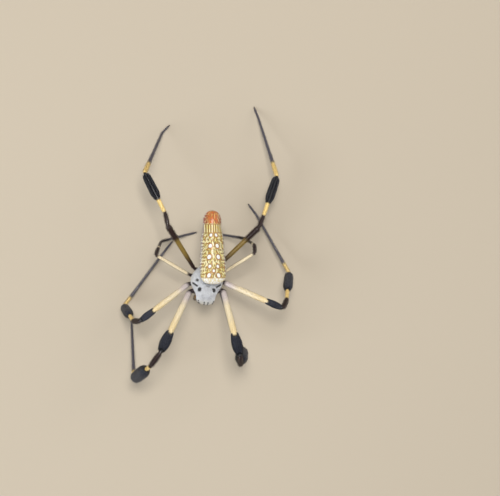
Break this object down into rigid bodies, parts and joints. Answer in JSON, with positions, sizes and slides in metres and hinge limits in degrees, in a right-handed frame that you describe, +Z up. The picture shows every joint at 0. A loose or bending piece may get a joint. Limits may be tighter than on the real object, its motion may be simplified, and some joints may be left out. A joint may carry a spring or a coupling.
{
  "type": "golden silk orb weaver",
  "caption": "Life-size still model of a female golden silk orb weaver spider, standing, with a silvery head shield, a long spotted golden abdomen and black hair brushes on its legs.",
  "frame": {"origin": "on the floor, under the middle of the box of the whole spider", "axes": "+X the spider's own left, +Y towards its tail, +Z up; the head points along -Y"},
  "size_m": [0.0476, 0.0758, 0.0249],
  "materials": {
    "silver_hair": "dark head shield under flat silvery white hairs, with bare black spots",
    "eye": "glossy black eye",
    "dark_chitin": "glossy dark red-brown chitin",
    "abdomen_skin": "smooth golden brown skin with white and pale yellow spots and dashes",
    "leg_yellow": "satin cream to yellow chitin with brown ends",
    "leg_black": "brush of black bristles behind a yellow band",
    "leg_grey": "grey-brown chitin with fine dark hair and a yellow base"
  },
  "bodies": {
    "root": {"prosoma": "silver_hair", "eye_front_median_left": "eye", "eye_front_median_right": "eye", "eye_rear_median_left": "eye", "eye_rear_median_right": "eye", "eye_front_lateral_left": "eye", "eye_front_lateral_right": "eye", "eye_rear_lateral_left": "eye", "eye_rear_lateral_right": "eye", "chelicera_left": "dark_chitin", "pedipalp_left": "dark_chitin", "chelicera_right": "dark_chitin", "pedipalp_right": "dark_chitin", "abdomen": "abdomen_skin", "spinnerets": "dark_chitin", "leg1_left_coxa": "dark_chitin", "leg1_left_femur": "leg_yellow", "leg1_left_patella": "dark_chitin", "leg1_left_tibia": "leg_black", "leg1_left_foot": "leg_grey", "leg1_right_coxa": "dark_chitin", "leg1_right_femur": "leg_yellow", "leg1_right_patella": "dark_chitin", "leg1_right_tibia": "leg_black", "leg1_right_foot": "leg_grey", "leg2_left_coxa": "dark_chitin", "leg2_left_femur": "leg_yellow", "leg2_left_patella": "dark_chitin", "leg2_left_tibia": "leg_black", "leg2_left_foot": "leg_grey", "leg2_right_coxa": "dark_chitin", "leg2_right_femur": "leg_yellow", "leg2_right_patella": "dark_chitin", "leg2_right_tibia": "leg_black", "leg2_right_foot": "leg_grey", "leg3_left_coxa": "dark_chitin", "leg3_left_femur": "leg_yellow", "leg3_left_patella": "dark_chitin", "leg3_left_tibia": "leg_yellow", "leg3_left_foot": "leg_grey", "leg3_right_coxa": "dark_chitin", "leg3_right_femur": "leg_yellow", "leg3_right_patella": "dark_chitin", "leg3_right_tibia": "leg_yellow", "leg3_right_foot": "leg_grey", "leg4_left_coxa": "dark_chitin", "leg4_left_femur": "leg_yellow", "leg4_left_patella": "dark_chitin", "leg4_left_tibia": "leg_black", "leg4_left_foot": "leg_grey", "leg4_right_coxa": "dark_chitin", "leg4_right_femur": "leg_yellow", "leg4_right_patella": "dark_chitin", "leg4_right_tibia": "leg_black", "leg4_right_foot": "leg_grey"}
  },
  "joints": []
}
